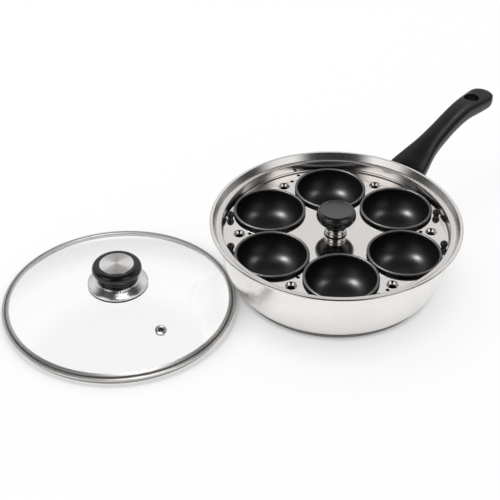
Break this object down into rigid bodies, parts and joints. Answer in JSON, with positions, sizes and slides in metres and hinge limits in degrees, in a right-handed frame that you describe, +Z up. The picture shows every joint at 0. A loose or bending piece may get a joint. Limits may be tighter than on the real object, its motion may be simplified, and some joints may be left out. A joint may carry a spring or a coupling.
{
  "type": "egg poacher pan",
  "caption": "Shallow stainless steel pan with a long black handle, a lift-out rack of non-stick egg cups with a centre knob, and a domed glass lid lying beside it.",
  "frame": {"origin": "centre of the pan's base, on the surface that it stands on", "axes": "+Z up, +X along the handle; the lid lies beside the pan, to the left of the side opposite the handle"},
  "size_m": [0.5861, 0.3808, 0.0959],
  "materials": {
    "polished_steel": "polished stainless steel",
    "rack_steel": "bright satin stainless steel",
    "rim_steel": "finely brushed stainless steel",
    "turned_steel": "turned stainless steel",
    "plain_steel": "plain zinc-bright steel",
    "chrome_trim": "polished",
    "aluminium_core": "mill finish, enclosed",
    "non_stick": "black satin non-stick coating",
    "black_handle": "moulded phenolic, satin",
    "black_gloss": "moulded phenolic, glossy",
    "black_rubber": "silicone rubber",
    "white_seal": "silicone rubber",
    "clear_glass": "clear tempered glass"
  },
  "bodies": {
    "pan": {"pan_body": "polished_steel", "pan_wall": "polished_steel", "pan_rim": "polished_steel", "base_core": "aluminium_core", "base_cap": "polished_steel", "handle_bracket": "plain_steel", "handle": "black_handle", "handle_screw": "plain_steel"},
    "rack": {"rack_tray": "rack_steel", "rack_wall": "rack_steel", "rack_legs": "plain_steel", "leg_cap_nuts": "black_gloss", "rack_knob": "black_gloss", "rack_knob_ferrule": "chrome_trim", "rack_knob_gasket": "black_rubber", "rack_knob_screw": "plain_steel", "rack_knob_washer": "plain_steel"},
    "lid": {"lid_glass": "clear_glass", "lid_rim": "rim_steel", "lid_vent_eyelet": "rim_steel", "lid_knob": "black_gloss", "lid_knob_inlay": "turned_steel", "lid_knob_skirt": "rim_steel", "lid_knob_gasket": "black_rubber", "lid_screw": "plain_steel", "lid_washer": "plain_steel", "lid_washer_seal": "white_seal"},
    "cup_1": {"cup_1": "non_stick"},
    "cup_2": {"cup_2": "non_stick"},
    "cup_3": {"cup_3": "non_stick"},
    "cup_4": {"cup_4": "non_stick"},
    "cup_5": {"cup_5": "non_stick"},
    "cup_6": {"cup_6": "non_stick"}
  },
  "joints": [
    {"name": "rack_lift", "type": "slide", "parent": "pan", "child": "rack", "axis": [0, 0, 1], "range_m": [0, 0.12]},
    {"name": "lid_lift", "type": "slide", "parent": "pan", "child": "lid", "axis": [-0.394, 0.3078, 0.866], "range_m": [0, 0.12]},
    {"name": "cup_1_lift", "type": "slide", "parent": "rack", "child": "cup_1", "axis": [0, 0, 1], "range_m": [0, 0.06]},
    {"name": "cup_2_lift", "type": "slide", "parent": "rack", "child": "cup_2", "axis": [0, 0, 1], "range_m": [0, 0.06]},
    {"name": "cup_3_lift", "type": "slide", "parent": "rack", "child": "cup_3", "axis": [0, 0, 1], "range_m": [0, 0.06]},
    {"name": "cup_4_lift", "type": "slide", "parent": "rack", "child": "cup_4", "axis": [0, 0, 1], "range_m": [0, 0.06]},
    {"name": "cup_5_lift", "type": "slide", "parent": "rack", "child": "cup_5", "axis": [0, 0, 1], "range_m": [0, 0.06]},
    {"name": "cup_6_lift", "type": "slide", "parent": "rack", "child": "cup_6", "axis": [0, 0, 1], "range_m": [0, 0.06]}
  ]
}
